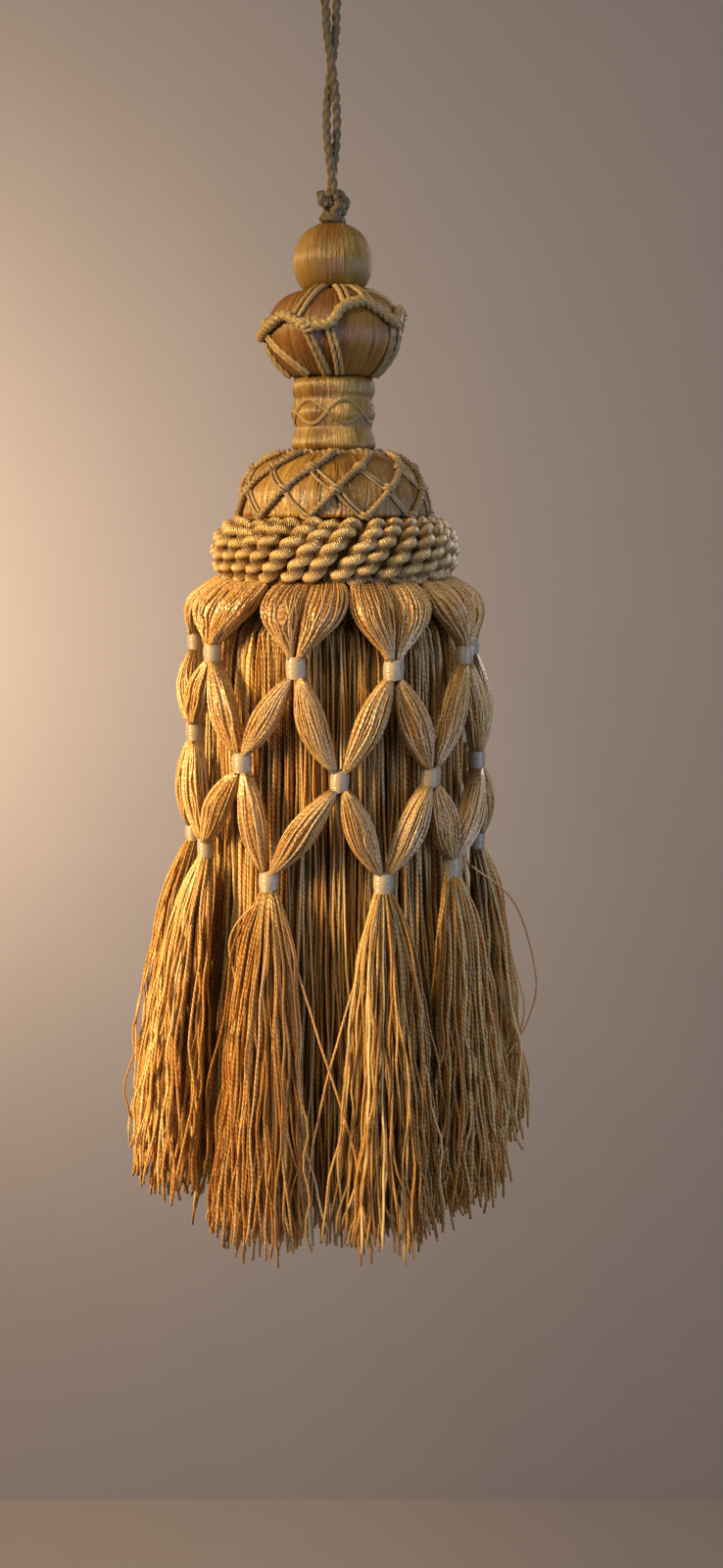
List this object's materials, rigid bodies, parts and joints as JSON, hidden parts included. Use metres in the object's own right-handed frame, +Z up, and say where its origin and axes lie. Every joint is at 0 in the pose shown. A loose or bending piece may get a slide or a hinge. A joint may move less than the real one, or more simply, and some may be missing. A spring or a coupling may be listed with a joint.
{
  "type": "curtain tieback tassel",
  "caption": "Hanging curtain tieback tassel: doubled twisted cord, wound ball, bead and neck, netted dome, roped collar, tied lattice skirt with tufts over an inner skirt.",
  "frame": {"origin": "inside of the hanging loop's top, where a hook carries the tassel", "axes": "+Z up along the tassel's hanging axis, -Y towards the viewer"},
  "size_m": [0.1078, 0.1038, 0.3355],
  "materials": {
    "cord_yarn": "matt twisted two-ply cord",
    "head_floss": "satin floss wound over a turned core",
    "trim_cord": "fine twisted cord",
    "collar_yarn": "wrapped ropes with a soft sheen",
    "skirt_yarn": "twisted viscose yarn with a soft sheen"
  },
  "bodies": {
    "root": {"hanging_cord": "cord_yarn", "top_knot": "cord_yarn", "ball": "head_floss", "bead": "head_floss", "bead_cords": "trim_cord", "neck": "head_floss", "dome": "head_floss", "dome_net": "trim_cord", "collar": "collar_yarn", "lattice": "skirt_yarn", "skirt": "skirt_yarn"}
  },
  "joints": []
}
